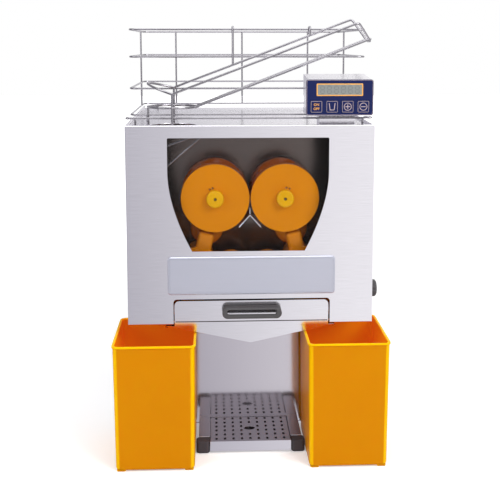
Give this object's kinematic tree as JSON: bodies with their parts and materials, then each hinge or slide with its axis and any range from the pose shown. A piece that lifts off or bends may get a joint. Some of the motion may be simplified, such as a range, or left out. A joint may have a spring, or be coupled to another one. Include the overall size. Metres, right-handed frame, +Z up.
{
  "type": "automatic orange juicer",
  "caption": "Counter-top juicer: wire fruit basket and ramp over a steel housing with windowed door, cup and ball drums, filter drawer, juice tray, peel bins and drip tray.",
  "frame": {"origin": "middle of the footprint box, on the surface the machine stands on", "axes": "+Z up, front (window, drawer and keys) towards -Y, +X to the right as seen from the front"},
  "size_m": [0.47, 0.54, 0.761],
  "materials": {
    "stainless": "brushed stainless sheet, satin",
    "dark_stainless": "duller stainless sheet, wet area",
    "wire": "bright drawn stainless wire, welded",
    "blade_steel": "ground blade steel",
    "shaft_steel": "turned steel",
    "cup_plastic": "translucent amber moulding, glossy",
    "yellow_plastic": "warm yellow moulding, satin",
    "knob_plastic": "lighter yellow moulding, satin",
    "bin_plastic": "orange moulding, satin",
    "black_plastic": "black moulding, fine grain",
    "foot_rubber": "black rubber, matte",
    "window": "clear sheet, glossy",
    "plate": "pale silver enamel, glossy",
    "cast": "cast, matte",
    "motor_paint": "grey paint, satin",
    "gear_metal": "machined",
    "blue_plastic": "dark blue membrane panel, glossy",
    "display_glass": "grey liquid crystal under clear cover"
  },
  "bodies": {
    "root": {"base_plate": "stainless", "front_foot_left": "foot_rubber", "front_foot_right": "foot_rubber", "rear_foot_left": "foot_rubber", "rear_foot_right": "foot_rubber", "left_side_panel": "stainless", "right_side_panel": "stainless", "rear_panel": "stainless", "lower_panel": "stainless", "front_frame": "stainless", "top_tray": "stainless", "drum_back_plate": "stainless", "gear_case": "cast", "gear_motor": "motor_paint", "knife_holder": "stainless", "knife_blade": "blade_steel", "peel_chute_left": "yellow_plastic", "peel_chute_right": "yellow_plastic", "drop_guide": "wire", "control_housing": "stainless", "control_panel": "blue_plastic", "display": "display_glass", "power_inlet": "black_plastic"},
    "cup_left": {"drum_cup_left": "cup_plastic", "disc_cup_left": "yellow_plastic", "knob_cup_left": "knob_plastic", "shaft_cup_left": "shaft_steel", "gear_cup_left": "gear_metal"},
    "cup_right": {"drum_cup_right": "cup_plastic", "disc_cup_right": "yellow_plastic", "knob_cup_right": "knob_plastic", "shaft_cup_right": "shaft_steel", "gear_cup_right": "gear_metal"},
    "ball_left": {"drum_ball_left": "yellow_plastic", "knob_ball_left": "knob_plastic", "shaft_ball_left": "shaft_steel", "gear_ball_left": "gear_metal"},
    "ball_right": {"drum_ball_right": "yellow_plastic", "knob_ball_right": "knob_plastic", "shaft_ball_right": "shaft_steel", "gear_ball_right": "gear_metal"},
    "pinion": {"motor_pinion": "shaft_steel"},
    "cover": {"front_cover": "stainless", "window_pane": "window", "name_plate": "plate"},
    "clamp": {"clamp_knob": "black_plastic"},
    "drawer": {"filter_drawer": "stainless", "filter_screen": "dark_stainless", "drawer_handle": "black_plastic"},
    "tray": {"juice_tray": "stainless"},
    "pan": {"drip_pan": "dark_stainless"},
    "grid": {"drip_grid": "dark_stainless"},
    "left_bin": {"bin_left": "bin_plastic"},
    "right_bin": {"bin_right": "bin_plastic"},
    "basket": {"fruit_basket": "wire"},
    "ramp": {"feed_ramp": "wire"},
    "button_1": {"key_1": "blue_plastic"},
    "button_2": {"key_2": "blue_plastic"},
    "button_3": {"key_3": "blue_plastic"},
    "button_4": {"key_4": "blue_plastic"}
  },
  "joints": [
    {"name": "cup_left_turn", "type": "hinge", "parent": "root", "child": "cup_left", "pos_m": [-0.06, -0.1337, 0.455], "axis": [0, 1, 0], "continuous": true},
    {"name": "cup_right_turn", "type": "hinge", "parent": "root", "child": "cup_right", "pos_m": [0.06, -0.1337, 0.455], "axis": [0, 1, 0], "continuous": true},
    {"name": "ball_left_turn", "type": "hinge", "parent": "root", "child": "ball_left", "pos_m": [-0.088, -0.1337, 0.33831], "axis": [0, 1, 0], "continuous": true},
    {"name": "ball_right_turn", "type": "hinge", "parent": "root", "child": "ball_right", "pos_m": [0.088, -0.1337, 0.33831], "axis": [0, 1, 0], "continuous": true},
    {"name": "pinion_turn", "type": "hinge", "parent": "root", "child": "pinion", "pos_m": [-0.13275, -0.1337, 0.497], "axis": [0, 1, 0], "continuous": true},
    {"name": "cover_swing", "type": "hinge", "parent": "root", "child": "cover", "pos_m": [-0.206, -0.1995, 0.41], "axis": [0, 0, -1], "range_deg": [0, 100]},
    {"name": "clamp_turn", "type": "hinge", "parent": "root", "child": "clamp", "pos_m": [0.2105, -0.178, 0.292], "axis": [1, 0, 0], "range_deg": [0, 180]},
    {"name": "drawer_slide", "type": "slide", "parent": "root", "child": "drawer", "axis": [0, -1, 0], "range_m": [0, 0.13]},
    {"name": "tray_slide", "type": "slide", "parent": "root", "child": "tray", "axis": [0, -1, 0], "range_m": [0, 0.15]},
    {"name": "pan_lift", "type": "slide", "parent": "root", "child": "pan", "axis": [0, 0, 1], "range_m": [0, 0.06]},
    {"name": "grid_lift", "type": "slide", "parent": "pan", "child": "grid", "axis": [0, 0, 1], "range_m": [0, 0.04]},
    {"name": "left_bin_slide", "type": "slide", "parent": "root", "child": "left_bin", "axis": [0, -1, 0], "range_m": [0, 0.25]},
    {"name": "right_bin_slide", "type": "slide", "parent": "root", "child": "right_bin", "axis": [0, -1, 0], "range_m": [0, 0.25]},
    {"name": "basket_lift", "type": "slide", "parent": "root", "child": "basket", "axis": [0, 0, 1], "range_m": [0, 0.2]},
    {"name": "ramp_lift", "type": "slide", "parent": "basket", "child": "ramp", "axis": [0, 0, 1], "range_m": [0, 0.2]},
    {"name": "key_1_press", "type": "slide", "parent": "root", "child": "button_1", "axis": [0, 1, 0], "range_m": [0, 0.0008], "stiffness_N_per_m": 800, "springref_m": -0.0003},
    {"name": "key_2_press", "type": "slide", "parent": "root", "child": "button_2", "axis": [0, 1, 0], "range_m": [0, 0.0008], "stiffness_N_per_m": 800, "springref_m": -0.0003},
    {"name": "key_3_press", "type": "slide", "parent": "root", "child": "button_3", "axis": [0, 1, 0], "range_m": [0, 0.0008], "stiffness_N_per_m": 800, "springref_m": -0.0003},
    {"name": "key_4_press", "type": "slide", "parent": "root", "child": "button_4", "axis": [0, 1, 0], "range_m": [0, 0.0008], "stiffness_N_per_m": 800, "springref_m": -0.0003}
  ],
  "couplings": [
    {"joint": "cup_right_turn", "follows": "cup_left_turn", "ratio": -1},
    {"joint": "ball_left_turn", "follows": "cup_left_turn", "ratio": -1},
    {"joint": "ball_right_turn", "follows": "cup_left_turn", "ratio": 1},
    {"joint": "pinion_turn", "follows": "cup_left_turn", "ratio": -2.5}
  ]
}
